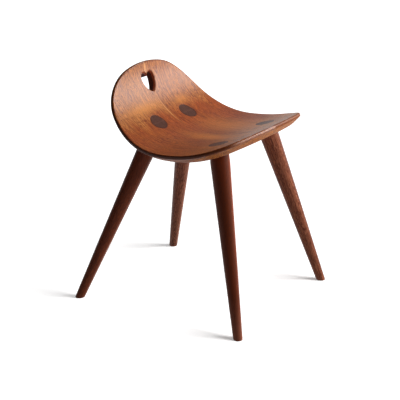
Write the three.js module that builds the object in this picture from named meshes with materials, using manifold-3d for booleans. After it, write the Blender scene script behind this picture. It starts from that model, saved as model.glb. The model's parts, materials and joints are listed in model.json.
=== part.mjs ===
// A walnut stool with a low raised back. Two boards glued side by side make one thin seat, which is
// bent front to back like a saddle. Its back rises into a rounded lobe with a heart-shaped hand-hold.
// Four tapered legs splay from it, and their tenons come through the seat, each locked by a wedge.
//
// Millimetres, +Z up, the floor at z = 0. The front is towards -Y. Left is -X, as seen from the front.
// Places on the seat are given on its flat sheet, before it is bent: x across, and along its top from
// the lowest line, backwards positive. Depth goes down into the wood.

import * as THREE from 'three';
import { mergeVertices, toCreasedNormals } from 'three/addons/utils/BufferGeometryUtils.js';
import Module from 'manifold-3d';

const wasm = await Module();
wasm.setup();

// The bent sheet
const seatLowHeight = 413.2;
const lowestLineY = -8.4;
const backBendRadius = 180.5;
const frontBendRadius = 421;
const seatThickness = 22.2;

// The seat's outline, five arcs on each side that run into each other
const backReach = 256.8;
const frontReach = 198;
const seatHalfWidth = 222.5;
const widestAlong = -56;
const frontEdgeRadius = 680;
const sideRadius = 570;
const crownRadius = 329;
const cornerRadius = 104.5;
const shoulderRadius = 157.5;

// The seat's edge: a rounded top corner, an upright face and a wide bevel below
const topRounding = 3;
const edgeFaceDepth = 8;
const underBevelWidth = 28;

// The hand-hold
const heartWidth = 49;
const heartLength = 50;
const heartBelowCrown = 26.9;
const heartLobeShare = 0.495;
const heartEasing = 2.4;

// The legs: where their feet stand, and where their tenons come through the seat
const footX = 211.5;
const footY = 229.4;
const backTenonX = 64.5;
const backTenonAlong = 97.4;
const frontTenonX = 109.8;
const frontTenonAlong = -104.7;
const footDiameter = 22;
const legTopDiameter = 46.5;
const tenonDiameter = 45;
const neckLength = 12;
const neckBelowSeat = 2;
const footEasing = 1.5;

// The wedges
const wedgeTopThickness = 3.6;
const wedgeTipThickness = 1.2;
const wedgeDepth = 16;

// Gaps and making values
const glueGap = 0.3;
const cutOverrun = 4;
const outlineStep = 10;
const heartSteps = 12;
const roundingSteps = 2;
const legSides = 40;
const creaseAngle = Math.PI / 7;

const seatWood = { color: 0x9a5c38, roughness: 0.45, metalness: 0 };
const darkSeatWood = { color: 0x8c4f30, roughness: 0.45, metalness: 0 };
const legWood = { color: 0x5f3023, roughness: 0.5, metalness: 0 };
const wedgeWood = { color: 0x6e4636, roughness: 0.55, metalness: 0 };

// Solids and geometries

function solid(geometry) {
  const bare = geometry.clone();
  bare.deleteAttribute('normal');
  bare.deleteAttribute('uv');
  const merged = mergeVertices(bare);
  const corners = Array.from(merged.index.array);
  const kept = [];
  for (let i = 0; i < corners.length; i += 3) {
    const [a, b, c] = corners.slice(i, i + 3);
    if (a !== b && b !== c && c !== a) kept.push(a, b, c);
  }
  const vertProperties = merged.attributes.position.array;
  return new wasm.Manifold(new wasm.Mesh({ numProp: 3, vertProperties, triVerts: Uint32Array.from(kept) }));
}

function geometryOf(body) {
  const { vertProperties, triVerts } = body.getMesh();
  const geometry = new THREE.BufferGeometry();
  geometry.setAttribute('position', new THREE.BufferAttribute(vertProperties, 3));
  geometry.setIndex(new THREE.BufferAttribute(triVerts, 1));
  return toCreasedNormals(geometry, creaseAngle);
}

function piece(name, body, wood) {
  const mesh = new THREE.Mesh(geometryOf(body), new THREE.MeshStandardMaterial(wood));
  mesh.name = name;
  return mesh;
}

function box(low, high) {
  const size = new THREE.Vector3().subVectors(high, low);
  const middle = new THREE.Vector3().addVectors(low, high).divideScalar(2);
  return new THREE.BoxGeometry(size.x, size.y, size.z).translate(middle.x, middle.y, middle.z);
}

// Turns an outline drawn in (Y, Z) and extruded along its own Z into one that runs along X.
const alongX = new THREE.Matrix4().makeBasis(
  new THREE.Vector3(0, 1, 0),
  new THREE.Vector3(0, 0, 1),
  new THREE.Vector3(1, 0, 0),
);

// The sheet's bend

function bend(x, along, depth) {
  const radius = along > 0 ? backBendRadius : frontBendRadius;
  const angle = along / radius;
  const reach = radius + depth;
  const y = lowestLineY + reach * Math.sin(angle);
  const z = seatLowHeight + radius - reach * Math.cos(angle);
  return new THREE.Vector3(x, y, z);
}

function bendNormal(along) {
  const angle = along / (along > 0 ? backBendRadius : frontBendRadius);
  return new THREE.Vector3(0, -Math.sin(angle), Math.cos(angle));
}

// A closed solid from rings of the flat sheet, top ring first, each bent at its own depth.
// The rings have the same number of points and run anticlockwise, and cap lists one ring's triangles.
function bentSolid(rings, cap) {
  const count = rings[0].points.length;
  const positions = rings.flatMap(({ points, depth }) =>
    points.flatMap((point) => bend(point.x, point.y, depth).toArray()));
  const index = [];
  for (let upper = 0; upper < count * (rings.length - 1); upper += count) {
    const lower = upper + count;
    for (let i = 0; i < count; i++) {
      const next = (i + 1) % count;
      index.push(upper + i, lower + i, lower + next);
      index.push(upper + i, lower + next, upper + next);
    }
  }
  const bottom = count * (rings.length - 1);
  for (const [a, b, c] of cap) {
    index.push(a, b, c);
    index.push(bottom + a, bottom + c, bottom + b);
  }
  const geometry = new THREE.BufferGeometry();
  geometry.setAttribute('position', new THREE.Float32BufferAttribute(positions, 3));
  geometry.setIndex(index);
  return solid(geometry);
}

// Arcs, as { centre, radius, from, to, steps }, joined end to end from front to back on the +X side.
// Growing every radius by one amount gives the parallel outline.
function halfOutline(arcs, grow) {
  const points = arcs.flatMap(({ centre, radius, from, to, steps }) => {
    const curve = new THREE.EllipseCurve(centre.x, centre.y, radius + grow, radius + grow, from, to);
    return curve.getPoints(steps).slice(0, -1);
  });
  const { centre, radius, to } = arcs[arcs.length - 1];
  const last = new THREE.Vector2(Math.cos(to), Math.sin(to)).multiplyScalar(radius + grow).add(centre);
  points.push(last);
  points[0].x = 0;
  last.x = 0;
  return points;
}

function fullOutline(half) {
  const mirrored = half.slice(1, -1).reverse().map((point) => new THREE.Vector2(-point.x, point.y));
  return [...half, ...mirrored];
}

const angleFrom = (centre, point) => Math.atan2(point.y - centre.y, point.x - centre.x);

// The seat's outline

// The outer centre of the small arc that touches two big arcs from inside.
function blendCentre(first, second, radius) {
  const a = first.radius - radius;
  const b = second.radius - radius;
  const between = new THREE.Vector2().subVectors(second.centre, first.centre);
  const distance = between.length();
  const forward = (a * a - b * b + distance * distance) / (2 * distance);
  const sideways = Math.sqrt(a * a - forward * forward);
  const along = between.normalize();
  const across = new THREE.Vector2(-along.y, along.x);
  const choices = [sideways, -sideways].map((offset) =>
    first.centre.clone().addScaledVector(along, forward).addScaledVector(across, offset));
  return choices[0].x > choices[1].x ? choices[0] : choices[1];
}

function seatArcs() {
  const front = { centre: new THREE.Vector2(0, frontEdgeRadius - frontReach), radius: frontEdgeRadius };
  const side = { centre: new THREE.Vector2(seatHalfWidth - sideRadius, widestAlong), radius: sideRadius };
  const crown = { centre: new THREE.Vector2(0, backReach - crownRadius), radius: crownRadius };
  const corner = { centre: blendCentre(front, side, cornerRadius), radius: cornerRadius };
  const shoulder = { centre: blendCentre(side, crown, shoulderRadius), radius: shoulderRadius };
  const ends = [
    -Math.PI / 2,
    angleFrom(front.centre, corner.centre),
    angleFrom(side.centre, corner.centre),
    angleFrom(side.centre, shoulder.centre),
    angleFrom(crown.centre, shoulder.centre),
    Math.PI / 2,
  ];
  return [front, corner, side, shoulder, crown].map((arc, i) => {
    const length = arc.radius * (ends[i + 1] - ends[i]);
    return { ...arc, from: ends[i], to: ends[i + 1], steps: Math.ceil(length / outlineStep) };
  });
}

// Strips from each point of a mirrored ring to its twin. They lie straight across the bent sheet.
function stripCap(halfCount) {
  const count = 2 * (halfCount - 1);
  const twin = (i) => (count - i) % count;
  const cap = [];
  for (let i = 0; i + 1 < halfCount; i++) {
    if (i > 0) cap.push([i, i + 1, twin(i)]);
    if (i + 2 < halfCount) cap.push([i + 1, twin(i + 1), twin(i)]);
  }
  return cap;
}

function seatBlank() {
  const arcs = seatArcs();
  const rounding = Array.from({ length: roundingSteps + 1 }, (_, i) => {
    const angle = (i / roundingSteps) * (Math.PI / 2);
    return { inset: topRounding * (1 - Math.sin(angle)), depth: topRounding * (1 - Math.cos(angle)) };
  });
  const levels = [
    ...rounding,
    { inset: 0, depth: edgeFaceDepth },
    { inset: underBevelWidth, depth: seatThickness },
  ];
  const rings = levels.map(({ inset, depth }) => ({ points: fullOutline(halfOutline(arcs, -inset)), depth }));
  return bentSolid(rings, stripCap(halfOutline(arcs, 0).length));
}

// The heart: a round lobe and a wider side arc on each side, which meet where the heart is widest.
function heartOutline(grow) {
  const halfWidth = heartWidth / 2;
  const lobeX = halfWidth * heartLobeShare;
  const lobeRadius = halfWidth - lobeX;
  const lobeAlong = backReach - heartBelowCrown - lobeRadius;
  const drop = heartLength - lobeRadius;
  const sideArcRadius = (halfWidth * halfWidth + drop * drop) / (2 * halfWidth);
  const side = { centre: new THREE.Vector2(halfWidth - sideArcRadius, lobeAlong), radius: sideArcRadius };
  const lobe = { centre: new THREE.Vector2(lobeX, lobeAlong), radius: lobeRadius };
  const tipAngle = -Math.acos(-side.centre.x / (side.radius + grow));
  const notchAngle = Math.acos(-lobe.centre.x / (lobe.radius + grow));
  const arcs = [
    { ...side, from: tipAngle, to: 0, steps: heartSteps },
    { ...lobe, from: 0, to: notchAngle, steps: heartSteps },
  ];
  return fullOutline(halfOutline(arcs, grow));
}

// The hand-hold's cutter, square to the sheet and flared at both faces to ease their edges.
function heartCutter() {
  const flare = heartEasing + cutOverrun;
  const rings = [
    { points: heartOutline(flare), depth: -cutOverrun },
    { points: heartOutline(0), depth: heartEasing },
    { points: heartOutline(0), depth: seatThickness - heartEasing },
    { points: heartOutline(flare), depth: seatThickness + cutOverrun },
  ];
  return bentSolid(rings, THREE.ShapeUtils.triangulateShape(rings[0].points, []));
}

// All the space above the seat's top, which trims the tenons and wedges flush.
function spaceAboveSeat() {
  const stations = Math.ceil((frontReach + backReach) / outlineStep);
  const profile = Array.from({ length: stations + 1 }, (_, i) => {
    const point = bend(0, THREE.MathUtils.lerp(-frontReach, backReach, i / stations), 0);
    return new THREE.Vector2(point.y, point.z);
  });
  const back = profile[stations];
  const ceiling = back.y + cutOverrun;
  profile.push(new THREE.Vector2(back.x, ceiling), new THREE.Vector2(profile[0].x, ceiling));
  const depth = 2 * seatHalfWidth;
  const space = new THREE.ExtrudeGeometry(new THREE.Shape(profile), { depth, bevelEnabled: false });
  return space.translate(0, 0, -seatHalfWidth).applyMatrix4(alongX);
}

// The legs, each built upright at its foot and then leaned into place

function legFrame(place, side) {
  const foot = new THREE.Vector3(side * place.footX, place.footY, 0);
  const top = bend(side * place.tenonX, place.tenonAlong, 0);
  const axis = new THREE.Vector3().subVectors(top, foot);
  const length = axis.length();
  axis.normalize();
  const across = new THREE.Vector3(1, 0, 0).addScaledVector(axis, -axis.x).normalize();
  const matrix = new THREE.Matrix4().makeBasis(across, axis, new THREE.Vector3().crossVectors(across, axis));
  matrix.setPosition(foot);
  return { matrix, inverse: matrix.clone().invert(), foot, axis, length, place };
}

// A tenon is square to its leg, so on the low side it leaves the leaning underside further down.
function tenonRun({ axis, place }) {
  const cosine = axis.dot(bendNormal(place.tenonAlong));
  const slope = Math.sqrt(1 - cosine * cosine) / cosine;
  return seatThickness / cosine + (slope * tenonDiameter) / 2 + neckBelowSeat;
}

function rod(radius, bottom, top) {
  return new THREE.CylinderGeometry(radius, radius, top - bottom, legSides).translate(0, (top + bottom) / 2, 0);
}

function turnedLeg(frame) {
  const neckTop = frame.length - tenonRun(frame);
  const neckBottom = neckTop - neckLength;
  const footRadius = footDiameter / 2;
  const taper = (legTopDiameter / 2 - footRadius) / neckBottom;
  const below = footDiameter;
  const profile = [
    new THREE.Vector2(0, -below),
    new THREE.Vector2(footRadius - taper * below, -below),
    new THREE.Vector2(legTopDiameter / 2, neckBottom),
    new THREE.Vector2(tenonDiameter / 2, neckTop),
    new THREE.Vector2(tenonDiameter / 2, frame.length + tenonDiameter),
    new THREE.Vector2(0, frame.length + tenonDiameter),
  ];
  return solid(new THREE.LatheGeometry(profile, legSides));
}

// A slanting cone that opens upwards from the floor. What it leaves of a foot stands flat on the
// floor, with its edge eased by footEasing.
function easedFootSpace({ foot, axis, length, inverse }) {
  const lean = Math.hypot(axis.x, axis.y) / axis.z;
  const stretch = Math.hypot(1, lean);
  const height = length * axis.z;
  const bottomRadius = footDiameter / 2 - footEasing;
  const cone = new THREE.CylinderGeometry(bottomRadius + height, bottomRadius, height, legSides);
  cone.translate(0, height / 2, 0).rotateX(Math.PI / 2);
  const slant = new THREE.Matrix4().makeShear(0, 0, 0, 0, lean, 0);
  cone.scale(stretch, 1, 1).applyMatrix4(slant).rotateZ(Math.atan2(axis.y, axis.x));
  return solid(cone.translate(foot.x, foot.y, foot.z).applyMatrix4(inverse));
}

// A wedge's two slanting faces run across the leg, and its thin end points down.
function wedgeBlank({ length }, grow) {
  const slope = (wedgeTopThickness - wedgeTipThickness) / (2 * wedgeDepth);
  const tip = wedgeTipThickness / 2 + grow;
  const bottom = length - wedgeDepth - grow;
  const top = length + tenonDiameter;
  const wide = wedgeTipThickness / 2 + slope * (top - bottom) + grow;
  const outline = new THREE.Shape([
    new THREE.Vector2(bottom, -tip),
    new THREE.Vector2(top, -wide),
    new THREE.Vector2(top, wide),
    new THREE.Vector2(bottom, tip),
  ]);
  const depth = tenonDiameter + 2 * cutOverrun;
  const blank = new THREE.ExtrudeGeometry(outline, { depth, bevelEnabled: false });
  return solid(blank.translate(0, 0, -depth / 2).applyMatrix4(alongX));
}

function leg(place, side, sideName, above) {
  const frame = legFrame(place, side);
  const trim = solid(above.clone().applyMatrix4(frame.inverse));
  const body = turnedLeg(frame)
    .intersect(easedFootSpace(frame))
    .subtract(trim)
    .subtract(wedgeBlank(frame, glueGap));
  const tenonSpace = solid(rod(tenonDiameter / 2, 0, frame.length + tenonDiameter));
  const wedge = wedgeBlank(frame, 0).intersect(tenonSpace).subtract(trim);
  const group = new THREE.Group();
  group.add(piece(`leg_${place.name}_${sideName}`, body, legWood));
  group.add(piece(`wedge_${place.name}_${sideName}`, wedge, wedgeWood));
  group.applyMatrix4(frame.matrix);
  const bore = rod(tenonDiameter / 2 + glueGap, frame.length - tenonRun(frame), frame.length + tenonDiameter);
  return { group, bore: solid(bore.applyMatrix4(frame.matrix)) };
}

// The whole stool

const legPlaces = [
  { name: 'back', footX, footY, tenonX: backTenonX, tenonAlong: backTenonAlong },
  { name: 'front', footX, footY: -footY, tenonX: frontTenonX, tenonAlong: frontTenonAlong },
];
const sides = [
  { name: 'left', side: -1, wood: seatWood },
  { name: 'right', side: 1, wood: darkSeatWood },
];
const above = spaceAboveSeat();
const legs = legPlaces.flatMap((place) => sides.map(({ name, side }) => leg(place, side, name, above)));

let seat = seatBlank().subtract(heartCutter());
for (const { bore } of legs) {
  seat = seat.subtract(bore);
}

const stool = new THREE.Group();
for (const { name, side, wood } of sides) {
  const reach = seatHalfWidth + cutOverrun;
  const height = backReach + seatLowHeight;
  const low = new THREE.Vector3(Math.min(0, side * reach), -height, 0);
  const high = new THREE.Vector3(Math.max(0, side * reach), height, height);
  stool.add(piece(`seat_board_${name}`, seat.intersect(solid(box(low, high))), wood));
}
for (const { group } of legs) {
  stool.add(group);
}

export default stool;
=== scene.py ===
import json
import math

import bpy
import numpy as np
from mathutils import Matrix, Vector
from mathutils.geometry import delaunay_2d_cdt
from mathutils.kdtree import KDTree


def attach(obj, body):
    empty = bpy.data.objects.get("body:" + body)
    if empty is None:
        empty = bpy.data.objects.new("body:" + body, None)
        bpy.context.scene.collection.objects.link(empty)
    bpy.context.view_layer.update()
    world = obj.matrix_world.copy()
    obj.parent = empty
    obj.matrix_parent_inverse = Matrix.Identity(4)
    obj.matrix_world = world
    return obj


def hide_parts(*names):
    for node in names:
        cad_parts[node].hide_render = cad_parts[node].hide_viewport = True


# A walnut stool with a low raised back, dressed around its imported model. The two seat boards, the four legs
# and their wedges are rebuilt here as fine, rounded meshes in walnut that is cut from solid blocks.
#
# Metres, +Z up, the front towards -Y. The seat is laid out on its flat sheet, before it is bent: x across,
# along its top from the lowest line, backwards positive, and depth down into the wood.

MM = 0.001

# The bent sheet
SEAT_LOW_HEIGHT = 413.2 * MM
LOWEST_LINE_Y = -8.4 * MM
BACK_BEND_RADIUS = 180.5 * MM
FRONT_BEND_RADIUS = 421 * MM
SEAT_THICKNESS = 22.2 * MM

# The seat's outline
BACK_REACH = 256.8 * MM
FRONT_REACH = 198 * MM
SEAT_HALF_WIDTH = 222.5 * MM
WIDEST_ALONG = -56 * MM
FRONT_EDGE_RADIUS = 680 * MM
SIDE_RADIUS = 570 * MM
CROWN_RADIUS = 329 * MM
CORNER_RADIUS = 104.5 * MM
SHOULDER_RADIUS = 157.5 * MM

# The seat's edge
TOP_ROUNDING = 3 * MM
EDGE_FACE_DEPTH = 8 * MM
EDGE_CROWN_INSET = 0.5 * MM
EDGE_CROWN_DEPTH = 4 * MM
EDGE_CROWN_EASING = 8 * MM
UNDER_BEVEL_WIDTH = 28 * MM
BEVEL_EASING = 3 * MM
UNDERSIDE_EASING = 5 * MM

# The hand-hold
HEART_WIDTH = 49 * MM
HEART_LENGTH = 50 * MM
HEART_BELOW_CROWN = 26.9 * MM
HEART_LOBE_SHARE = 0.495
HEART_EASING = 3 * MM

# The legs and their wedges
BACK_TENON = (64.5 * MM, 97.4 * MM)
FRONT_TENON = (109.8 * MM, -104.7 * MM)
FOOT_DIAMETER = 22 * MM
LEG_TOP_DIAMETER = 46.5 * MM
TENON_DIAMETER = 45 * MM
NECK_LENGTH = 12 * MM
NECK_BELOW_SEAT = 2 * MM
FOOT_EASING = 1.8 * MM
TENON_EASING = 0.25 * MM
WEDGE_TOP_THICKNESS = 3.6 * MM
WEDGE_TIP_THICKNESS = 1.2 * MM
WEDGE_DEPTH = 16 * MM
JOINT_GAP = 0.15 * MM

# How finely the meshes are made
OUTLINE_STEP = 3 * MM
FILL_SPACING = 6 * MM
ROUND_STEPS = 6
HEART_STEPS = 28
LEG_SIDES = 96
TOP_RINGS = 8
SEARCH_STEPS = 6
SHARP_ANGLE = math.radians(40)
ANGLE_SLACK = 1e-6
MERGE_DISTANCE = 1e-7

# The camera, solved from the photograph, with its lens and sensor in millimetres
CAMERA_PLACE = Vector((-2.3339, -1.4654, 1.1826))
CAMERA_TARGET = Vector((0, 0.0074, 0.2354))
CAMERA_LENS = 105.66
CAMERA_SENSOR = 36

# The soft boxes that light the stool: azimuth from +X towards +Y and elevation, in degrees, then width and
# height, then power in watts. Each faces the middle of the seat, at one distance from it.
SEAT_MIDDLE = Vector((0, 0, SEAT_LOW_HEIGHT))
BOX_DISTANCE = 3.0
SOFT_BOXES = {
    "key": (-33, 21, (1.8, 1.3), 82),
    "front": (-66, 26, (1.5, 0.9), 42),
    "right": (25, 17, (1.8, 1.7), 3),
    "back": (60, 10, (1.5, 0.9), 10),
}

# The soft box that lights the floor alone, in the same terms
FLOOR_BOX_DISTANCE = 5.0
FLOOR_BOX = (-71, 24, (3.2, 1.2), 590)

# The floor: the shares of light that it sends to the camera and to the stool, and the camera's share of its
# own glow. Each of its dim places has a centre, and two distances between which the glow grows to the full.
FLOOR_SIZE = 40
FLOOR_SEEN_SHARE = 0.9
FLOOR_BOUNCE_SHARE = 0.28
FLOOR_GLOW_SHARE = 0.33
FLOOR_DIM_PLACES = [((1.5, -4.3, 0), 4.2, 6.1), ((0, 0, 0), 2.2, 3.6)]

# The world: its light on the stool, how bright its top looks, and how high its white horizon reaches, where
# straight up is 1
WORLD_FILL = 0.06
WORLD_TOP = 0.05
WORLD_TOP_HEIGHT = 0.12

# The wood's features: sizes in millimetres across and along the grain, then detail, then roughness
GRAIN_SWAYS = ((70, 300), 2, 0.5)
BROAD_TONES = ((45, 260), 3, 0.5)
STREAKS = ((6, 150), 3, 0.6)
FIBRES = ((2.2, 70), 2, 0.5)
FLECKS = ((2.1, 10), 3, 0.7)
FLECK_PATCHES = ((12, 55), 3, 0.5)
PORES = ((0.45, 7), 1, 0.5)
END_BLOTCHES = ((9, 60), 2, 0.5)
END_SPECKLES = ((0.8, 20), 1, 0.5)

# From where each feature is faint to where it is full, on a scale from 0 to 1. The scale of a growth ring
# starts at its inner side.
BROAD_TONES_SHOW = (0.38, 0.62)
STREAKS_SHOW = (0.5, 0.78)
FIBRES_SHOW = (0.42, 0.66)
FLECKS_SHOW = (0.45, 0.62)
FLECK_PATCHES_SHOW = (0.4, 0.62)
PORES_SHOW = (0.62, 0.72)
PORES_IN_RING = (0.8, 0.1)
LATE_WOOD = (0.45, 0.94)
RING_END = (1, 0.95)
ARRIS_IN_FLECKS = (0.25, 0.5)
END_BLOTCHES_SHOW = (0.35, 0.65)
END_SPECKLES_SHOW = (0.6, 0.7)
END_PORES_IN_RING = (0.9, 0.2)
END_LATE_WOOD = (0.35, 0.9)
SURROUND_SHOWS = (0, 0.2)

# How strongly the features show, and how much duller pores and fibres are
FIBRE_SHARE = 0.6
FLECK_SHARE = 0.6
FLECK_PATCH_EXTRA_SHARE = 0.5
PORE_SHARE = 0.7
JOINT_SHARE = 0.75
END_LATE_SHARE = 0.6
END_JOINT_SHARE = 0.8
# The heart's wall and the seat's edge towards its left side get painted shade, as strongly as these two say
HEART_SHADE_SHARE = 0.97
RIM_LEFT_EXTRA_SHADE = 0.65
PORE_DULLNESS = 0.25
END_PORE_DULLNESS = 0.2
FIBRE_DULLNESS = 0.16

# How the growth rings vary in width: a noise on a scale of rings, its pace and its reach
RING_WAVES = ((1, 1), 2, 0.5)
RING_WAVE_PACE = 0.3
RING_WAVE_REACH = 2.5

# How far figures and drifts waver, in millimetres
FIGURE_WAVES = 9
DRIFT_WAVES = 120

# The fine relief of pores and flecks
RELIEF_STRENGTH = 0.6
FLECK_RELIEF = 3
LONG_GRAIN_RELIEF = 0.1 * MM
END_GRAIN_RELIEF = 0.06 * MM

# Bands of another tone, each from where it is faint to where it is full, in millimetres: from the nearest
# arris or joint, below the seat's top, or towards the seat's left side. The arris band paints shade along the
# seat's rounded arrises and a worn tone round the legs' feet. The bands below the top paint shade on the
# seat's edge face and in the heart, and a highlight on the heart's upper rim.
ARRIS_BAND = (5, 1.5)
JOINT_BAND = (0.9, 0.2)
END_JOINT_BAND = (1.1, 0.2)
RIM_SHADE_TOP_BAND = (0.3, 1.8)
RIM_SHADE_BOTTOM_BAND = (10, 6)
RIM_SHADE_LEFT_BAND = (-120, -190)
HEART_LIP_HIGHLIGHT_BAND = (0.5, 1.5)
HEART_SHADE_BAND = (5.5, 7)
HEART_BACK_BAND = (21.8, 20)

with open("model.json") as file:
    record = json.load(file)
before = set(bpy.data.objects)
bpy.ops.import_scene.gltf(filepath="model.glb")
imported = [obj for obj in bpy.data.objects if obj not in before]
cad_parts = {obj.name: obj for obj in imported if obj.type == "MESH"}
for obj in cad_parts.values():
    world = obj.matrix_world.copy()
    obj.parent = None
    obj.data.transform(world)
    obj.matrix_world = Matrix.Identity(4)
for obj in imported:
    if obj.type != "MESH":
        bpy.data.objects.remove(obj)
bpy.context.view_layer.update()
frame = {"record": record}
feet = {mount["name"]: Vector(mount["pos_m"]) for mount in frame["record"]["mounts"]}


# The sheet's bend

def bend(sheet_points):
    """Lays points given as (x, along, depth) on the sheet's two arcs."""
    x, along, depth = np.asarray(sheet_points, float).T
    radius = np.where(along > 0, BACK_BEND_RADIUS, FRONT_BEND_RADIUS)
    reach = radius + depth
    y = LOWEST_LINE_Y + reach * np.sin(along / radius)
    z = SEAT_LOW_HEIGHT + radius - reach * np.cos(along / radius)
    return np.stack([x, y, z], axis=1)


def unbend(points):
    """The (x, along, depth) of points near the sheet."""
    x, y, z = np.asarray(points, float).T
    radius = np.where(y > LOWEST_LINE_Y, BACK_BEND_RADIUS, FRONT_BEND_RADIUS)
    out = y - LOWEST_LINE_Y
    down = SEAT_LOW_HEIGHT + radius - z
    return np.stack([x, radius * np.arctan2(out, down), np.hypot(out, down) - radius], axis=1)


def flat(points, depth):
    """Flat (x, along) points with a depth, or a depth for each of them, added."""
    points = np.asarray(points, float)
    return np.column_stack([points, np.broadcast_to(depth, len(points))])


# Outlines made of arcs

def arc(centre, radius, start, end, count):
    return {
        "centre": np.asarray(centre, float),
        "radius": radius,
        "start": start,
        "end": end,
        "count": count,
    }


def outline(arcs, grow):
    """Points along arcs joined end to end on the +X side, with every radius grown by the same amount."""
    parts = []
    for a in arcs:
        angles = np.linspace(a["start"], a["end"], a["count"] + 1)
        points = a["centre"] + (a["radius"] + grow) * np.column_stack([np.cos(angles), np.sin(angles)])
        parts.append(points[:-1])
    parts.append(points[-1:])
    joined = np.concatenate(parts)
    joined[[0, -1], 0] = 0
    return joined


def blend_centre(first_centre, first_radius, second_centre, second_radius, radius):
    """The outer centre of a small arc that touches two big arcs from inside."""
    a = first_radius - radius
    b = second_radius - radius
    between = second_centre - first_centre
    distance = np.hypot(*between)
    forward = (a * a - b * b + distance * distance) / (2 * distance)
    sideways = math.sqrt(a * a - forward * forward)
    ahead = between / distance
    across = np.array([-ahead[1], ahead[0]])
    choices = [first_centre + ahead * forward + across * s for s in (sideways, -sideways)]
    return max(choices, key=lambda centre: centre[0])


def angle_from(centre, point):
    return math.atan2(point[1] - centre[1], point[0] - centre[0])


def seat_arcs():
    front = np.array([0, FRONT_EDGE_RADIUS - FRONT_REACH])
    side = np.array([SEAT_HALF_WIDTH - SIDE_RADIUS, WIDEST_ALONG])
    crown = np.array([0, BACK_REACH - CROWN_RADIUS])
    corner = blend_centre(front, FRONT_EDGE_RADIUS, side, SIDE_RADIUS, CORNER_RADIUS)
    shoulder = blend_centre(side, SIDE_RADIUS, crown, CROWN_RADIUS, SHOULDER_RADIUS)
    ends = [
        -math.pi / 2,
        angle_from(front, corner),
        angle_from(side, corner),
        angle_from(side, shoulder),
        angle_from(crown, shoulder),
        math.pi / 2,
    ]
    centres = [front, corner, side, shoulder, crown]
    radii = [FRONT_EDGE_RADIUS, CORNER_RADIUS, SIDE_RADIUS, SHOULDER_RADIUS, CROWN_RADIUS]
    return [
        arc(centre, radius, start, end, math.ceil(radius * (end - start) / OUTLINE_STEP))
        for centre, radius, start, end in zip(centres, radii, ends, ends[1:])
    ]


def inset_of(arcs, points):
    """How far flat points of the +X half lie inside the outline."""
    insets = np.full(len(points), np.inf)
    for a in arcs:
        x, along = (points - a["centre"]).T
        angle = np.arctan2(along, x)
        here = (angle >= a["start"] - ANGLE_SLACK) & (angle <= a["end"] + ANGLE_SLACK)
        insets[here] = np.minimum(insets[here], a["radius"] - np.hypot(x, along)[here])
    return insets


def underside_depth(arcs, points):
    """The depth of the seat's underside, which is flat but for the wide bevel along its edge."""
    slope = (SEAT_THICKNESS - EDGE_FACE_DEPTH) / UNDER_BEVEL_WIDTH
    inward = inset_of(arcs, points) - UNDER_BEVEL_WIDTH
    bevel = SEAT_THICKNESS + slope * inward
    eased = SEAT_THICKNESS - slope * (UNDERSIDE_EASING - inward) ** 2 / (4 * UNDERSIDE_EASING)
    depth = np.where(inward < -UNDERSIDE_EASING, bevel, eased)
    return np.where(inward > UNDERSIDE_EASING, SEAT_THICKNESS, depth)


def heart_outline(grow):
    """Half of the heart, from its tip to its notch, with its arcs grown."""
    half_width = HEART_WIDTH / 2
    lobe_x = half_width * HEART_LOBE_SHARE
    lobe_radius = half_width - lobe_x
    lobe_along = BACK_REACH - HEART_BELOW_CROWN - lobe_radius
    drop = HEART_LENGTH - lobe_radius
    side_radius = (half_width**2 + drop**2) / (2 * half_width)
    side_x = half_width - side_radius
    tip_angle = -math.acos(-side_x / (side_radius + grow))
    notch_angle = math.acos(-lobe_x / (lobe_radius + grow))
    return outline([
        arc((side_x, lobe_along), side_radius, tip_angle, 0, HEART_STEPS),
        arc((lobe_x, lobe_along), lobe_radius, 0, notch_angle, HEART_STEPS),
    ], grow)


def rounded(path, radii):
    """A path's corners as small arcs, each with its own radius. The path's two ends are left out."""
    points = []
    for before, corner, after, radius in zip(path, path[1:], path[2:], radii):
        back = (before - corner).normalized()
        ahead = (after - corner).normalized()
        half = back.angle(ahead) / 2
        centre = corner + (back + ahead).normalized() * radius / math.sin(half)
        start = corner + back * radius / math.tan(half) - centre
        end = corner + ahead * radius / math.tan(half) - centre
        points += [centre + start.slerp(end, i / ROUND_STEPS) * radius for i in range(ROUND_STEPS + 1)]
    return points


# Meshes gathered ring by ring

class Shell:
    """The points and faces of one closed piece."""

    def __init__(self):
        self.points = []
        self.faces = []
        self.finish = []

    def ring(self, points):
        first = len(self.points)
        self.points += [tuple(p) for p in points]
        return list(range(first, len(self.points)))

    def face(self, corners, finish=0):
        self.faces.append(corners)
        self.finish.append(finish)

    def strip(self, upper, lower, closed, finish=0):
        """Quads between two rings. Seen from outside, the upper ring runs to the right."""
        count = len(upper) if closed else len(upper) - 1
        for i in range(count):
            j = (i + 1) % len(upper)
            self.face([upper[i], lower[i], lower[j], upper[j]], finish)

    def strips(self, rings, closed, finish=0):
        for upper, lower in zip(rings, rings[1:]):
            self.strip(upper, lower, closed, finish)

    def mesh(self, name, flip):
        made = bpy.data.meshes.new(name)
        made.from_pydata(self.points, [], [f[::-1] if flip else f for f in self.faces])
        made.polygons.foreach_set("material_index", self.finish)
        return made


def inside(points, loop):
    """Whether each point is inside a closed loop, by counting the sides to its right."""
    x, y = points.T
    crossings = np.zeros(len(points), bool)
    for (x0, y0), (x1, y1) in zip(loop, np.roll(loop, -1, axis=0)):
        if y0 != y1:
            beside = x < x0 + (y - y0) * (x1 - x0) / (y1 - y0)
            crossings ^= ((y0 > y) != (y1 > y)) & beside
    return crossings


def nearest(points, others):
    return np.array([np.hypot(*(others - point).T).min() for point in points])


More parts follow.
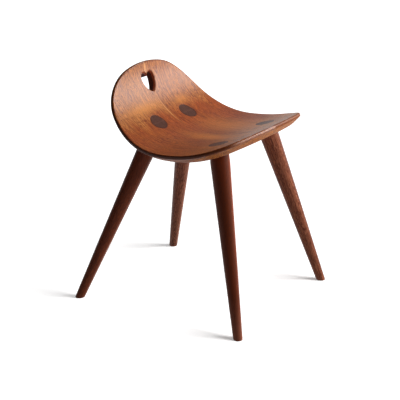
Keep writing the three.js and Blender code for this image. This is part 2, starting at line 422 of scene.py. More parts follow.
def fill(shell, loops, depth_of, up, finish, along_rings):
    """Covers the sheet between the first loop and the others, which are its holes, with small triangles.
    Their corners lie on a grid, and where along_rings says, on rings that follow the outline."""
    indices = [i for loop in loops for i in loop]
    borders = [np.array([shell.points[i][:2] for i in loop]) for loop in loops]

    def wooden(points):
        kept = inside(points, borders[0])
        for hole in borders[1:]:
            kept &= ~inside(points, hole)
        return kept

    edges = []
    for loop in borders:
        first = len(edges)
        edges += [(first + i, first + (i + 1) % len(loop)) for i in range(len(loop))]
    every = np.concatenate(borders)
    low, high = every.min(axis=0), every.max(axis=0)
    rows = np.arange(low[1], high[1], FILL_SPACING)
    columns = np.arange(low[0] + FILL_SPACING / 2, high[0], FILL_SPACING)
    grid = np.array([(x + FILL_SPACING * (i % 2) / 2, y) for i, y in enumerate(rows) for x in columns])
    batches = [(points, OUTLINE_STEP / 2) for points in along_rings]
    batches.append((grid, FILL_SPACING / 2))
    for scattered, room in batches:
        scattered = scattered[nearest(scattered, every) > room]
        scattered = scattered[wooden(scattered)]
        indices += shell.ring(flat(scattered, depth_of(scattered)))
        every = np.concatenate([every, scattered])
    places = [Vector(p) for p in every]
    _, _, triangles, origins, _, _ = delaunay_2d_cdt(places, edges, [], 0, MERGE_DISTANCE)
    corners = np.array([[origins[i][0] for i in triangle] for triangle in triangles])
    for triangle in corners[wooden(every[corners].mean(axis=1))]:
        chosen = [indices[i] for i in triangle]
        shell.face(chosen if up else chosen[::-1], finish)


def distances(points, others):
    """How far each point is from the nearest of the others, in millimetres."""
    tree = KDTree(len(others))
    for i, other in enumerate(others):
        tree.insert(other, i)
    tree.balance()
    return np.array([tree.find(point)[2] for point in points]) / MM


def finish_piece(name, mesh, materials, replaced, grain, edges):
    """Makes an object of a mesh in its final place. Its materials read, in millimetres, each point's grain
    coordinates, and how far it is from an arris, from a glued joint and below the seat's top."""
    for attribute_name, values in (("grain", grain), ("edges", edges)):
        attribute = mesh.attributes.new(attribute_name, "FLOAT_VECTOR", "POINT")
        attribute.data.foreach_set("vector", np.ascontiguousarray(values, np.float32).ravel())
    for material in materials:
        mesh.materials.append(material)
    mesh.shade_smooth()
    mesh.set_sharp_from_angle(angle=SHARP_ANGLE)
    piece = bpy.data.objects.new(name, mesh)
    bpy.context.scene.collection.objects.link(piece)
    weighted = piece.modifiers.new("even shading", "WEIGHTED_NORMAL")
    weighted.keep_sharp = True
    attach(piece, "root")
    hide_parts(replaced)


def edge_values(arris, joint, depth):
    """The distances of each point from the nearest arris and joint, with its depth."""
    return np.column_stack([arris, joint, np.broadcast_to(depth, len(arris))])


def coordinates(mesh):
    values = np.empty(len(mesh.vertices) * 3, np.float32)
    mesh.vertices.foreach_get("co", values)
    return values.reshape(-1, 3).astype(float)


# The legs

def leg_frame(foot, tenon, side):
    """A leg's foot, its axis and two directions square to it, and its length up to the seat's top."""
    top = Vector(bend([(side * tenon[0], tenon[1], 0)])[0])
    axis = (top - foot).normalized()
    across = (Vector((1, 0, 0)) - axis * axis.x).normalized()
    return {
        "foot": foot,
        "axis": axis,
        "across": across,
        "beside": across.cross(axis),
        "length": (top - foot).length,
        "along": tenon[1],
    }


def tenon_run(leg):
    """How far down its own axis a tenon goes before the leg widens below the seat."""
    radius = BACK_BEND_RADIUS if leg["along"] > 0 else FRONT_BEND_RADIUS
    normal = Vector((0, -math.sin(leg["along"] / radius), math.cos(leg["along"] / radius)))
    cosine = leg["axis"].dot(normal)
    slope = math.sqrt(1 - cosine * cosine) / cosine
    return SEAT_THICKNESS / cosine + slope * TENON_DIAMETER / 2 + NECK_BELOW_SEAT


def spokes(leg):
    """Directions square to a leg's axis, one for each of its sides."""
    angles = np.arange(LEG_SIDES) * 2 * math.pi / LEG_SIDES
    across = np.outer(np.cos(angles), leg["across"])
    beside = np.outer(np.sin(angles), leg["beside"])
    return across + beside


def on_sheet(leg, radius, depth):
    """The ring in which a cylinder round the leg's axis meets the sheet at a depth."""
    start = np.array(leg["foot"]) + spokes(leg) * radius
    axis = np.array(leg["axis"])
    reach = np.full(LEG_SIDES, leg["length"])
    for _ in range(SEARCH_STEPS):
        points = start + np.outer(reach, axis)
        _, along, now = unbend(points).T
        angle = along / np.where(along > 0, BACK_BEND_RADIUS, FRONT_BEND_RADIUS)
        climb = axis[2] * np.cos(angle) - axis[1] * np.sin(angle)
        reach += (now - depth) / climb
    return start + np.outer(reach, axis)


def leg_shell(leg):
    """One turned leg, from its flat foot to its tenon, whose end follows the seat's top. It also gives the
    points of the foot's arris and of the tenon's rim."""
    shell = Shell()
    origin = np.array(leg["foot"])
    axis = np.array(leg["axis"])
    spoke = spokes(leg)
    neck_top = leg["length"] - tenon_run(leg)
    neck_bottom = neck_top - NECK_LENGTH
    foot_radius = FOOT_DIAMETER / 2
    taper = (LEG_TOP_DIAMETER / 2 - foot_radius) / neck_bottom

    def level(height, inset):
        """The ring at a height above the floor, drawn in by inset."""
        reach = (height - spoke[:, 2] * (foot_radius - inset)) / (axis[2] + spoke[:, 2] * taper)
        radius = foot_radius - inset + taper * reach
        return origin + np.outer(reach, axis) + spoke * radius[:, None]

    def square(reach, radius):
        return origin + axis * reach + spoke * radius

    arc_angles = np.linspace(0, math.pi / 2, ROUND_STEPS + 1)
    rings = [level(FOOT_EASING * (1 - math.cos(a)), FOOT_EASING * (1 - math.sin(a))) for a in arc_angles]
    rings.append(level(FOOT_DIAMETER, 0))
    rings += [
        square(reach, foot_radius + taper * reach)
        for reach in np.linspace(2 * FOOT_DIAMETER, neck_bottom, TOP_RINGS)
    ]
    tenon_radius = TENON_DIAMETER / 2
    rings.append(square(neck_top, tenon_radius))
    rings += [
        on_sheet(leg, tenon_radius - TENON_EASING * (1 - math.cos(a)), TENON_EASING * (1 - math.sin(a)))
        for a in arc_angles
    ]
    body = [shell.ring(points) for points in rings]
    shell.strips(body[::-1], True)
    end = [body[-1]]
    for share in np.linspace(1, 0, TOP_RINGS, endpoint=False)[1:]:
        end.append(shell.ring(on_sheet(leg, (tenon_radius - TENON_EASING) * share, 0)))
    shell.strips(end[::-1], True, finish=1)
    shell.face(end[-1], finish=1)
    shell.face(body[0][::-1], finish=1)
    return shell, rings[ROUND_STEPS // 2], rings[-1]


def wedge_blank(leg, grow):
    """A box as wide as the tenon whose two big faces close in downwards."""
    slope = (WEDGE_TOP_THICKNESS - WEDGE_TIP_THICKNESS) / (2 * WEDGE_DEPTH)
    bottom = leg["length"] - WEDGE_DEPTH - grow
    top = leg["length"] + TENON_DIAMETER
    tip = WEDGE_TIP_THICKNESS / 2 + grow
    wide = tip + slope * (top - bottom)
    shell = Shell()
    rings = []
    for reach, half in ((top, wide), (bottom, tip)):
        middle = leg["foot"] + leg["axis"] * reach
        corners = [(-1, -1), (1, -1), (1, 1), (-1, 1)]
        rings.append(shell.ring(
            middle + leg["across"] * TENON_DIAMETER * u + leg["beside"] * half * v for u, v in corners
        ))
    shell.strip(rings[1], rings[0], True)
    shell.face(rings[0][::-1])
    shell.face(rings[1])
    return shell


def combined(mesh, other, operation):
    """The mesh cut by the other one, or what the two share."""
    pair = [bpy.data.objects.new(m.name, m) for m in (mesh, other)]
    for thing in pair:
        bpy.context.scene.collection.objects.link(thing)
    cut = pair[0].modifiers.new("cut", "BOOLEAN")
    cut.operation = operation
    cut.object = pair[1]
    cut.solver = "EXACT"
    graph = bpy.context.evaluated_depsgraph_get()
    made = bpy.data.meshes.new_from_object(pair[0].evaluated_get(graph))
    for thing in pair:
        bpy.data.objects.remove(thing)
    return made


def leg_grain(mesh, leg):
    """Grain coordinates that run up the leg, from its foot."""
    local = coordinates(mesh) - np.array(leg["foot"])
    return np.column_stack([local @ np.array(leg[name]) for name in ("across", "beside", "axis")]) / MM


def slot_lines(leg):
    """Points along the two edges of the wedge's slot in the tenon's end."""
    top = np.array(leg["foot"] + leg["axis"] * leg["length"])
    across = np.outer(np.linspace(-1, 1, LEG_SIDES) * TENON_DIAMETER / 2, leg["across"])
    half = WEDGE_TOP_THICKNESS / 2
    return np.concatenate([top + across + np.array(leg["beside"]) * v for v in (-half, half)])


# The seat boards

def edge_profile():
    """The seat's edge in cross-section: how far out from the outline and how deep."""
    return rounded([
        Vector((-2 * UNDER_BEVEL_WIDTH, 0)),
        Vector((-EDGE_CROWN_INSET, 0)),
        Vector((0, EDGE_CROWN_DEPTH)),
        Vector((0, EDGE_FACE_DEPTH)),
        Vector((-UNDER_BEVEL_WIDTH, SEAT_THICKNESS)),
    ], [TOP_ROUNDING, EDGE_CROWN_EASING, BEVEL_EASING])


def heart_profile():
    """The heart's wall in cross-section: how far into the hole and how deep."""
    return rounded([
        Vector((-HEART_WIDTH, 0)),
        Vector((0, 0)),
        Vector((0, SEAT_THICKNESS)),
        Vector((-HEART_WIDTH, SEAT_THICKNESS)),
    ], [HEART_EASING, HEART_EASING])


def heart_rings(shell, arcs):
    """Rings down the heart's wall. The lower ones follow the underside."""
    rings = []
    for out, depth in heart_profile():
        points = heart_outline(-out)
        if depth > SEAT_THICKNESS / 2:
            depth = depth + (underside_depth(arcs, points) - SEAT_THICKNESS)
        rings.append(shell.ring(flat(points, depth)))
    return rings


def bore_rings(shell, leg, side):
    """A tenon's hole, with its top arris eased: its uppermost and lowest rings."""
    rings = []
    for depth, flare in ((0, TENON_EASING), (TENON_EASING, 0), (SEAT_THICKNESS, 0)):
        ring = unbend(on_sheet(leg, TENON_DIAMETER / 2 + JOINT_GAP + flare, depth))
        rings.append(shell.ring(ring * (side, 1, 1)))
    shell.strips([ring[::side] for ring in rings], True)
    return rings[0], rings[-1]


def glue_line(shell, start, end, depth_of):
    """Points along the glue line, between two places that other rings already hold."""
    places = np.linspace(start, end, round(abs(end - start) / FILL_SPACING) + 1)[1:-1]
    points = np.column_stack([np.zeros(len(places)), places])
    return shell.ring(flat(points, depth_of(points)))


def cover(shell, rim, heart, bores, depth_of, finish, along_rings=()):
    """One big face of a board. Finish 0 is the top and 1 the underside. It gives the two stretches of its
    glue line, behind the heart and ahead of it."""
    along = [shell.points[i][1] for i in (rim[-1], heart[-1], heart[0], rim[0])]
    behind = glue_line(shell, along[0], along[1], depth_of)
    ahead = glue_line(shell, along[2], along[3], depth_of)
    outer = rim + behind + heart[::-1] + ahead
    fill(shell, [outer, *bores], depth_of, finish == 0, finish, along_rings)
    return behind, ahead


def seat_board(side, legs):
    """Half of the seat, on one side of the glue line: its shell, its points on the flat sheet, and on the
    flat +X half the points of its arrises and of its holes."""
    shell = Shell()
    arcs = seat_arcs()
    rim = [shell.ring(flat(outline(arcs, out), depth)) for out, depth in edge_profile()]
    heart = heart_rings(shell, arcs)
    # Down to this many corners of its profile a wall is as polished as the top, and below them it is duller
    for rings, corners in ((rim, 2), ([ring[::-1] for ring in heart], 1)):
        polished = corners * (ROUND_STEPS + 1)
        shell.strips(rings[:polished], False)
        shell.strips(rings[polished - 1:], False, finish=1)
    bores = [bore_rings(shell, leg, side) for leg in legs]
    tops, bottoms = zip(*bores)
    top_behind, top_ahead = cover(shell, rim[0], heart[0], tops, lambda points: np.zeros(len(points)), 0)
    bevel_rings = [
        outline(arcs, shift - UNDER_BEVEL_WIDTH)[1:-1]
        for shift in np.linspace(-UNDERSIDE_EASING, UNDERSIDE_EASING, ROUND_STEPS)
    ]
    low_behind, low_ahead = cover(
        shell, rim[-1], heart[-1], bottoms, lambda points: underside_depth(arcs, points), 1, bevel_rings
    )
    for top_line, first, low_line, last in (
        (top_behind, [ring[-1] for ring in heart], low_behind, [ring[-1] for ring in rim]),
        (top_ahead, [ring[0] for ring in rim], low_ahead, [ring[0] for ring in heart]),
    ):
        shell.face((top_line + first + low_line[::-1] + last[::-1])[::-1])
    points = np.array(shell.points)
    half = ROUND_STEPS // 2
    arris_rings = [ring for rings in (rim, heart) for ring in (rings[half], rings[-1 - half])]
    arrises = points[np.concatenate(arris_rings)]
    holes = points[np.concatenate(tops)]
    sheet = points * (side, 1, 1)
    shell.points = bend(sheet).tolist()
    return shell, sheet, arrises, holes


# Materials

class Graph:
    """A short way to write the nodes of a material or a world. Inputs are numbers, colours or sockets of
    other nodes."""

    def __init__(self, owner):
        owner.use_nodes = True
        self.owner = owner
        self.tree = owner.node_tree
        self.tree.nodes.clear()

    def node(self, kind, inputs=None, **settings):
        made = self.tree.nodes.new(kind)
        for key, value in settings.items():
            setattr(made, key, value)
        for key, value in (inputs or {}).items():
            if isinstance(value, bpy.types.NodeSocket):
                self.tree.links.new(value, made.inputs[key])
            else:
                made.inputs[key].default_value = value
        return made

    def math(self, operation, *values):
        return self.node("ShaderNodeMath", dict(enumerate(values)), operation=operation).outputs[0]

    def mix(self, share, low, high):
        made = self.node("ShaderNodeMix", data_type="RGBA")
        for socket, value in zip((made.inputs[0], made.inputs[6], made.inputs[7]), (share, low, high)):
            if isinstance(value, bpy.types.NodeSocket):
                self.tree.links.new(value, socket)
            else:
                socket.default_value = value
        return made.outputs[2]

    def between(self, value, low, high, start=0, end=1):
        """The start value before low, the end value past high, and smooth in between."""
        inputs = {"Value": value, "From Min": low, "From Max": high, "To Min": start, "To Max": end}
        return self.node("ShaderNodeMapRange", inputs, interpolation_type="SMOOTHSTEP").outputs[0]

    def noise(self, place, size, detail, roughness):
        """Noise whose features have a size across and along the grain, in the units of the place."""
        across, along = size
        stretched = self.vector("MULTIPLY", place, (1 / across, 1 / across, 1 / along))
        inputs = {"Vector": stretched, "Scale": 1, "Detail": detail, "Roughness": roughness}
        return self.node("ShaderNodeTexNoise", inputs).outputs["Fac"]

    def attribute(self, name):
        return self.node("ShaderNodeAttribute", attribute_name=name).outputs["Vector"]

    def vector(self, operation, *values, result="Vector"):
        made = self.node("ShaderNodeVectorMath", dict(enumerate(values)), operation=operation)
        return made.outputs[result]

    def parts(self, vector):
        return self.node("ShaderNodeSeparateXYZ", {0: vector}).outputs

    def joined(self, x, y, z):
        return self.node("ShaderNodeCombineXYZ", {0: x, 1: y, 2: z}).outputs[0]

    def layer(self, mask, share, below, above):
        """A colour laid over another where a mask is 1, as strongly as the share says."""
        return self.mix(self.math("MULTIPLY", mask, share), below, above)

    def swing(self, value, width):
        """A value from 0 to 1, turned into one from minus to plus half of a width."""
        return self.math("MULTIPLY", self.math("SUBTRACT", value, 0.5), width)

    def wood_surface(self, colour, rough, specular, relief, relief_height):
        """Ends a material in a shader with fine relief."""
        bump = self.node("ShaderNodeBump", {
            "Strength": RELIEF_STRENGTH,
            "Distance": relief_height,
            "Height": relief,
        })
        shader = self.node("ShaderNodeBsdfPrincipled", {
            "Base Color": colour,
            "Roughness": rough,
            "Specular IOR Level": specular,
            "Normal": bump.outputs[0],
        })
        self.node("ShaderNodeOutputMaterial", {"Surface": shader.outputs[0]})


def rgb(red, green, blue):
    """A colour written as it looks on a screen, 0 to 255, for a shader's socket."""
    shares = [value / 255 for value in (red, green, blue)]
    return tuple(s / 12.92 if s <= 0.04045 else ((s + 0.055) / 1.055) ** 2.4 for s in shares) + (1.0,)


def grey(share):
    """The colour of something that throws back this share of the light."""
    return (share, share, share, 1.0)


def growth_ring(g, place, look):
    """0 at the start of a growth ring and 1 at its dark end, in a log whose pith runs along the grain."""
    across, down, along = g.parts(place)
    sway = g.swing(g.noise(place, *GRAIN_SWAYS), look["sway"])
    pith_across, pith_down = look["pith"]
    across = g.math("ADD", g.math("SUBTRACT", across, pith_across), sway)
    down = g.math("SUBTRACT", down, pith_down)
    radius = g.math("SQRT", g.math("ADD", g.math("POWER", across, 2), g.math("POWER", down, 2)))
    widening = g.math("MULTIPLY", along, look["taper"])
    run = g.math("DIVIDE", g.math("ADD", radius, widening), look["ring_width"])
    uneven = g.noise(g.joined(g.math("MULTIPLY", run, RING_WAVE_PACE), 0, 0), *RING_WAVES)
    return g.math("FRACT", g.math("ADD", run, g.math("MULTIPLY", uneven, RING_WAVE_REACH)))


def spot(g, place, x, along, half_width, half_length):
    """1 in the middle of a long soft spot, and 0 outside it."""
    away = g.vector("SUBTRACT", place, (x, 0, along))
    away = g.vector("MULTIPLY", away, (1 / half_width, 0, 1 / half_length))
    return g.between(g.vector("LENGTH", away, result="Value"), 1, 0)


def shaded_edges(g, colour, place, depth, look):
    """Paints shade on the seat's edge face, most on its left side, which faces away from the lamps. It also
    paints deep shade on the heart's wall, and a reddish highlight along the heart's upper rim.
    """
    face = g.math("MULTIPLY", g.between(depth, *RIM_SHADE_TOP_BAND), g.between(depth, *RIM_SHADE_BOTTOM_BAND))
    on_left = g.between(g.parts(place)[0], *RIM_SHADE_LEFT_BAND)
    share = g.math("ADD", look["rim_shade_share"], g.math("MULTIPLY", on_left, RIM_LEFT_EXTRA_SHADE))
    # Painted shade on the edge face, stronger towards the seat's left side
    colour = g.layer(face, share, colour, look["rim"])
    around_heart = g.between(spot(g, place, *HEART_SURROUND), *SURROUND_SHOWS)
    wall = g.math("MULTIPLY", around_heart, g.between(depth, *HEART_BACK_BAND))
    lip_highlight = g.math("MULTIPLY", wall, g.between(depth, *HEART_LIP_HIGHLIGHT_BAND))
    # Painted reddish highlight along the heart's upper rim, where its eased arris would catch the light
    colour = g.mix(lip_highlight, colour, look["lip_highlight"])
    shade = g.math("MULTIPLY", wall, g.between(depth, *HEART_SHADE_BAND))
    # Painted deep shade on the heart's wall below its upper rim, in the pore tone
    return g.layer(shade, HEART_SHADE_SHARE, colour, look["pore"])


def walnut(name, look, figure_and_painted_light):
    """Oiled walnut, cut from a solid block of growth rings, streaks, fibres and pores. Some of its spots, and
    its bands along the seat's arrises, edge face and heart, are painted light and shade.
    """
    g = Graph(bpy.data.materials.new(name))
    place = g.attribute("grain")
    moved = g.vector("ADD", place, look["seed"])
    arris, joint, depth = g.parts(g.attribute("edges"))
    ring = growth_ring(g, moved, look)
    late = g.math("MULTIPLY", g.between(ring, *LATE_WOOD), g.between(ring, *RING_END))
    broad = g.noise(moved, *BROAD_TONES)
    streaks = g.noise(moved, *STREAKS)
    fibres = g.noise(moved, *FIBRES)
    flecks = g.noise(moved, *FLECKS)
    patches = g.between(g.noise(moved, *FLECK_PATCHES), *FLECK_PATCHES_SHOW)
    pores = g.between(g.noise(moved, *PORES), *PORES_SHOW)
    open_pores = g.math("MULTIPLY", pores, g.between(ring, *PORES_IN_RING))
    near_arris = g.math("MULTIPLY", g.between(arris, *ARRIS_BAND), g.between(flecks, *ARRIS_IN_FLECKS))

    colour = g.mix(g.between(broad, *BROAD_TONES_SHOW), look["base"], look["warm"])
    along = g.math("ADD", g.parts(place)[2], g.swing(broad, DRIFT_WAVES))
    for tone, share, start, end in look["drifts"]:
        colour = g.layer(g.between(along, start, end), share, colour, tone)
    colour = g.layer(g.between(streaks, *STREAKS_SHOW), look["streak_share"], colour, look["dark"])
    colour = g.layer(late, look["ring_share"], colour, look["dark"])
    colour = g.layer(g.between(fibres, *FIBRES_SHOW), FIBRE_SHARE, colour, look["dark"])
    fleck_share = g.math("ADD", FLECK_SHARE, g.math("MULTIPLY", patches, FLECK_PATCH_EXTRA_SHARE))
    colour = g.layer(g.between(flecks, *FLECKS_SHOW), fleck_share, colour, look["dark"])
    wavy = g.vector("ADD", place, g.joined(g.swing(streaks, FIGURE_WAVES), 0, 0))
    # Spots of the wood's own tone, and spots of painted light and shade
    for tone, share, *shape in figure_and_painted_light:
        colour = g.layer(spot(g, wavy, *shape), share, colour, tone)
    colour = g.layer(open_pores, PORE_SHARE, colour, look["pore"])
    # Painted shade on the seat's edge face and in the heart, and a painted highlight on the heart's upper rim
    if "rim" in look:
        colour = shaded_edges(g, colour, place, depth, look)
    # On the seat this paints shade along the rounded arrises; on the legs it is a worn tone round the foot
    colour = g.layer(near_arris, look["arris_wear_and_shade_share"], colour, look["arris"])
    colour = g.layer(g.between(joint, *JOINT_BAND), JOINT_SHARE, colour, look["pore"])

    rough = g.math("ADD", look["roughness"], g.math("MULTIPLY", open_pores, PORE_DULLNESS))
    rough = g.math("ADD", rough, g.swing(fibres, FIBRE_DULLNESS))
    rough = g.math("SUBTRACT", rough, g.math("MULTIPLY", near_arris, look["polish"]))
    relief = g.math("MULTIPLY", g.math("ADD", open_pores, g.math("MULTIPLY", flecks, FLECK_RELIEF)), -1)
    g.wood_surface(colour, rough, look["specular"], relief, LONG_GRAIN_RELIEF)
    return g.owner


def end_grain(name, look):
    """Oiled walnut sawn across its fibres: growth rings as arcs, and pores as dots."""
    g = Graph(bpy.data.materials.new(name))
    place = g.vector("ADD", g.attribute("grain"), look["seed"])
    _, joint, _ = g.parts(g.attribute("edges"))
    ring = growth_ring(g, place, look)
    late = g.math("MULTIPLY", g.between(ring, *END_LATE_WOOD), g.between(ring, *RING_END))
    blotches = g.between(g.noise(place, *END_BLOTCHES), *END_BLOTCHES_SHOW)
    speckles = g.between(g.noise(place, *END_SPECKLES), *END_SPECKLES_SHOW)
    open_pores = g.math("MULTIPLY", speckles, g.between(ring, *END_PORES_IN_RING))
    colour = g.mix(blotches, look["base"], look["warm"])
    colour = g.layer(late, END_LATE_SHARE, colour, look["dark"])
    colour = g.layer(open_pores, PORE_SHARE, colour, look["pore"])
    colour = g.layer(g.between(joint, *END_JOINT_BAND), END_JOINT_SHARE, colour, look["pore"])
    rough = g.math("ADD", look["roughness"], g.math("MULTIPLY", open_pores, END_PORE_DULLNESS))
    relief = g.math("MULTIPLY", open_pores, -1)
    g.wood_surface(colour, rough, look["specular"], relief, END_GRAIN_RELIEF)
    return g.owner


def seen_and_mirrored(g):
    """1 for rays from the camera, and 1 for rays that a surface reflects or lets through."""
    path = g.node("ShaderNodeLightPath").outputs
    return path["Is Camera Ray"], g.math("MAXIMUM", path["Is Glossy Ray"], path["Is Transmission Ray"])


def floor_material():
    """A white floor. The camera sees the floor box's light and shadows on it, and a glow that makes up for
    that light where it is dim. Reflections show the floor plain white."""
    g = Graph(bpy.data.materials.new("white_floor"))
    seen, mirrored = seen_and_mirrored(g)
    place = g.node("ShaderNodeTexCoord").outputs["Object"]
    glow = FLOOR_GLOW_SHARE
    for centre, start, end in FLOOR_DIM_PLACES:
        away = g.vector("DISTANCE", place, centre, result="Value")
        glow = g.math("MAXIMUM", glow, g.between(away, start, end, FLOOR_GLOW_SHARE, 1))
    strength = g.math("ADD", g.math("MULTIPLY", glow, seen), mirrored)
    own = g.node("ShaderNodeEmission", {"Strength": strength})
    tone = g.mix(mirrored, g.mix(seen, grey(FLOOR_BOUNCE_SHARE), grey(FLOOR_SEEN_SHARE)), grey(0))
    lit = g.node("ShaderNodeBsdfDiffuse", {"Color": tone})
    both = g.node("ShaderNodeAddShader", {0: lit.outputs[0], 1: own.outputs[0]})
    g.node("ShaderNodeOutputMaterial", {"Surface": both.outputs[0]})
    return g.owner


# The stage

def make_floor():
    half = FLOOR_SIZE / 2
    corners = [(-half, -half, 0), (half, -half, 0), (half, half, 0), (-half, half, 0)]
    mesh = bpy.data.meshes.new("floor")
    mesh.from_pydata(corners, [], [(0, 1, 2, 3)])
    mesh.materials.append(floor_material())
    floor = bpy.data.objects.new("floor", mesh)
    bpy.context.scene.collection.objects.link(floor)
    return floor


def make_world():
    """A world that fills in the shade with weak even light. The camera and reflections see a white horizon
    instead, and a dark top above it."""
    g = Graph(bpy.data.worlds.new("studio"))
    seen, mirrored = seen_and_mirrored(g)
    height = g.parts(g.node("ShaderNodeTexCoord").outputs["Generated"])["Z"]
    horizon = g.between(height, 0, WORLD_TOP_HEIGHT, 1, WORLD_TOP)
    strength = g.between(g.math("MAXIMUM", seen, mirrored), 0, 1, WORLD_FILL, horizon)
    background = g.node("ShaderNodeBackground", {"Color": grey(1), "Strength": strength})
    g.node("ShaderNodeOutputWorld", {"Surface": background.outputs[0]})
    bpy.context.scene.world = g.owner


def soft_box(name, distance, azimuth, elevation, size, power):
    """A rectangular lamp that faces the middle of the seat."""
    a, e = math.radians(azimuth), math.radians(elevation)
    away = Vector((math.cos(a) * math.cos(e), math.sin(a) * math.cos(e), math.sin(e)))
    data = bpy.data.lights.new(name, "AREA")
    data.shape = "RECTANGLE"
    data.size, data.size_y = size
    data.energy = power
    light = bpy.data.objects.new(name, data)
    light.location = SEAT_MIDDLE + away * distance
    light.rotation_euler = (-away).to_track_quat("-Z", "Y").to_euler()
    light.visible_camera = False
    bpy.context.scene.collection.objects.link(light)
    return light


def linked_to(name, floor, link_state):
    """A list of what lamps light: the floor alone, or everything but the floor."""
    receivers = bpy.data.collections.new(name)
    receivers.objects.link(floor)
    receivers.collection_objects[0].light_linking.link_state = link_state
    return receivers


def make_lights(floor):
    all_but_floor = linked_to("all_but_floor", floor, "EXCLUDE")
    for name, settings in SOFT_BOXES.items():
        soft_box(name, BOX_DISTANCE, *settings).light_linking.receiver_collection = all_but_floor
    floor_box = soft_box("floor", FLOOR_BOX_DISTANCE, *FLOOR_BOX)
    floor_box.light_linking.receiver_collection = linked_to("floor_alone", floor, "INCLUDE")


def make_camera():
    data = bpy.data.cameras.new("camera")
    data.lens = CAMERA_LENS
    data.sensor_width = CAMERA_SENSOR
    data.clip_end = FLOOR_SIZE
    camera = bpy.data.objects.new("camera", data)
    camera.location = CAMERA_PLACE
    camera.rotation_euler = (CAMERA_TARGET - CAMERA_PLACE).to_track_quat("-Z", "Y").to_euler()
    bpy.context.scene.collection.objects.link(camera)
    bpy.context.scene.camera = camera


# The looks of the pieces

# Colours are as on a screen. A pith lies so many millimetres across and down from where the grain's
# coordinates start, and a seed moves the block of wood. A drift is a tone with its share, which comes in
# between two places along the seat.
GOLD = rgb(220, 144, 78)
BRIGHT = rgb(238, 156, 76)
AMBER = rgb(244, 150, 66)
PALE = rgb(240, 172, 108)
ROSE = rgb(212, 136, 110)
PURPLE = rgb(128, 70, 56)
REDDISH = rgb(198, 92, 50)
DARK = rgb(104, 48, 32)

SEAT_LOOK = {
    "base": rgb(191, 99, 52),
    "warm": rgb(199, 109, 54),
    "dark": rgb(126, 60, 38),
    # The pore tone also paints the shade on the heart's wall
    "pore": rgb(76, 46, 33),
    # The tone of the painted shade along the seat's arrises
    "arris": rgb(112, 52, 30),
    "streak_share": 0.55,
    "ring_share": 0.3,
    "arris_wear_and_shade_share": 0.6,
    # The tone of the painted shade on the edge face
    "rim": rgb(60, 22, 10),
    # The tone of the painted highlight on the heart's upper rim
    "lip_highlight": rgb(255, 140, 96),
    "roughness": 0.34,
    "specular": 0.18,
    "taper": 0.11,
    "sway": 26,
}
EDGE_LOOK = {"roughness": 0.55, "specular": 0.2}
LEFT_LOOK = SEAT_LOOK | {
    "pith": (-92, 75),
    "ring_width": 11,
    "seed": (0, 0, 0),
    "polish": 0.24,
    # How much painted shade the edge face gets
    "rim_shade_share": 0.25,
    "drifts": [(GOLD, 0.95, 88, 140), (AMBER, 0.85, -40, -140)],
}
RIGHT_LOOK = SEAT_LOOK | {
    "base": rgb(189, 96, 50),
    "warm": rgb(197, 105, 50),
    "pith": (140, 85),
    "ring_width": 12,
    "seed": (3, 11, 1700),
    "polish": -0.25,
    # How much painted shade the edge face gets
    "rim_shade_share": 0.5,
    "drifts": [(GOLD, 0.8, 92, 140), (AMBER, 0.9, -40, -140)],
}
LEG_LOOK = {
    "base": rgb(152, 74, 40),
    "warm": rgb(160, 80, 42),
    "dark": rgb(104, 48, 30),
    "pore": rgb(62, 36, 26),
    "arris": rgb(170, 92, 56),
    "streak_share": 0.5,
    "ring_share": 0.3,
    "arris_wear_and_shade_share": 0.25,
    "roughness": 0.36,
    "specular": 0.12,
    "taper": 0.03,
    "sway": 14,
    "pith": (55, 40),
    "ring_width": 6,
    "polish": 0.14,
    "drifts": [],
}
LEG_LOOKS = {
    "back_left": LEG_LOOK | {"base": rgb(142, 68, 36), "warm": rgb(150, 74, 40), "seed": (5, 17, 900)},
    "back_right": LEG_LOOK | {"base": rgb(176, 106, 78), "warm": rgb(182, 110, 80), "seed": (31, -23, 2100)},
    "front_left": LEG_LOOK | {"base": rgb(118, 52, 24), "warm": rgb(126, 56, 28), "seed": (-19, 29, 3300)},
    "front_right": LEG_LOOK | {"base": rgb(184, 112, 82), "warm": rgb(190, 116, 84), "seed": (47, 3, 4500)},
}
END_TONES = {
    "base": rgb(98, 64, 54),
    "warm": rgb(108, 72, 60),
    "dark": rgb(68, 42, 37),
    "pore": rgb(44, 28, 25),
    "ring_width": 3.2,
    "taper": 0,
}
WEDGE_TONES = {"base": rgb(106, 70, 59), "warm": rgb(114, 77, 64), "dark": rgb(80, 52, 45)}

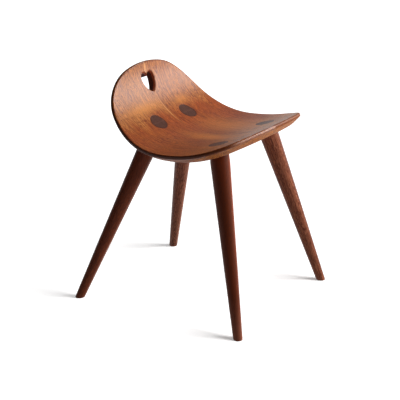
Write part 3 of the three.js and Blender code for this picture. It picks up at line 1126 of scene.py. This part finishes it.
# Spots: x, along, half width and half length in millimetres. In a list of spots, a tone and its share come
# first. Most are the wood's own tones and streaks; the ones marked are painted light and shade.
# The place round the heart where its painted shade and highlight go
HEART_SURROUND = (0, 204, 48, 48)
LEFT_FIGURE_AND_PAINTED_LIGHT = [
    (PALE, 0.95, -2, 244, 4, 28),
    (BRIGHT, 0.55, -70, 146, 110, 26),
    (AMBER, 0.6, -36, -45, 45, 120),
    (PURPLE, 0.4, -112, 222, 9, 34),
    (PURPLE, 0.4, -66, 226, 5, 20),
    (PURPLE, 0.35, -85, 130, 5, 16),
    (PURPLE, 0.45, -92, 27, 16, 9),
    (PURPLE, 0.35, -48, 16, 10, 8),
    (DARK, 0.25, -122, 4, 9, 10),
    # A painted sheen near the front
    (PALE, 0.25, -30, -160, 60, 40),
]
RIGHT_FIGURE_AND_PAINTED_LIGHT = [
    (PALE, 0.75, 3, 120, 4, 76),
    (AMBER, 0.5, 80, -30, 100, 120),
    (BRIGHT, 0.45, 75, 136, 45, 20),
    (DARK, 0.3, 13, 128, 9, 60),
    (PALE, 0.4, 2, 244, 3, 22),
    # A painted sheen near the front
    (PALE, 0.3, 50, -155, 90, 45),
    (DARK, 0.35, 92, 226, 8, 18),
    (PURPLE, 0.3, 105, 212, 6, 26),
    (DARK, 0.5, 88, 60, 6, 18),
    (DARK, 0.4, 53, 143, 4, 24),
    (DARK, 0.25, 130, 178, 5, 44),
    (PURPLE, 0.35, 68, 176, 6, 30),
    (PURPLE, 0.4, 130, 45, 15, 12),
]
LEG_FIGURES_AND_PAINTED_LIGHT = {
    # On the back left leg, a painted pinkish sheen down its side towards the lamps, and painted shade down
    # its other side
    "back_left": [(ROSE, 0.9, 16, 330, 26, 900), (DARK, 0.3, -22, 230, 12, 420)],
    "back_right": [],
    "front_left": [
        # A painted lit stripe down the front left leg's side towards the lamps
        (REDDISH, 0.85, 15, 340, 20, 600),
        # Painted shade down its side away from the lamps
        (DARK, 0.4, -22, 300, 12, 200),
        (ROSE, 0.3, 0, 0, 60, 110),
    ],
    "front_right": [(DARK, 0.7, 3, 250, 9, 900)],
}


# The whole stool

def make_leg(leg, name):
    """One leg and its wedge."""
    look = LEG_LOOKS[name]
    shell, foot_ring, tenon_ring = leg_shell(leg)
    blank = shell.mesh("leg", False)
    slot = wedge_blank(leg, JOINT_GAP).mesh("slot", False)
    body = combined(blank, slot, "DIFFERENCE")
    wedge = combined(wedge_blank(leg, 0).mesh("wedge", False), blank, "INTERSECT")
    points = coordinates(body)
    joints = np.concatenate([tenon_ring, slot_lines(leg)])
    finish_piece(
        f"turned_leg_{name}", body,
        [walnut(f"leg_{name}", look, LEG_FIGURES_AND_PAINTED_LIGHT[name]), end_grain(f"leg_end_{name}", look | END_TONES)],
        f"leg_{name}", leg_grain(body, leg),
        edge_values(distances(points, foot_ring), distances(points, joints), 0))
    far = np.full(len(wedge.vertices), TENON_DIAMETER / MM)
    finish_piece(
        f"tenon_wedge_{name}", wedge, [end_grain(f"wedge_{name}", look | END_TONES | WEDGE_TONES)],
        f"wedge_{name}", leg_grain(wedge, leg), edge_values(far, far, 0))


def make_board(side_name, side, legs, look, figure_and_painted_light):
    """One half of the seat. Its grain coordinates are x, depth and along."""
    shell, sheet, arrises, holes = seat_board(side, legs)
    flat_points = sheet * (side, 1, 1)
    finish_piece(
        f"board_{side_name}", shell.mesh("board", side < 0),
        [
            walnut(f"seat_{side_name}", look, figure_and_painted_light),
            walnut(f"seat_edge_{side_name}", look | EDGE_LOOK, figure_and_painted_light),
        ],
        f"seat_board_{side_name}", sheet[:, [0, 2, 1]] / MM,
        edge_values(distances(flat_points, arrises), distances(flat_points, holes), sheet[:, 2] / MM))


def make_stool():
    """Makes one side after the other: two legs with their wedges, and the board that holds them."""
    boards = {
        "left": (-1, LEFT_LOOK, LEFT_FIGURE_AND_PAINTED_LIGHT, "seat_walnut_light"),
        "right": (1, RIGHT_LOOK, RIGHT_FIGURE_AND_PAINTED_LIGHT, "seat_walnut_dark"),
    }
    for side_name, (side, look, figure_and_painted_light, slot) in boards.items():
        legs = []
        for place, tenon in (("back", BACK_TENON), ("front", FRONT_TENON)):
            leg = leg_frame(feet[f"foot_{place}_{side_name}"], tenon, side)
            legs.append(leg)
            make_leg(leg, f"{place}_{side_name}")
        make_board(side_name, side, legs, look, figure_and_painted_light)


make_stool()
make_world()
make_lights(make_floor())
make_camera()
bpy.context.scene.view_settings.view_transform = "Standard"
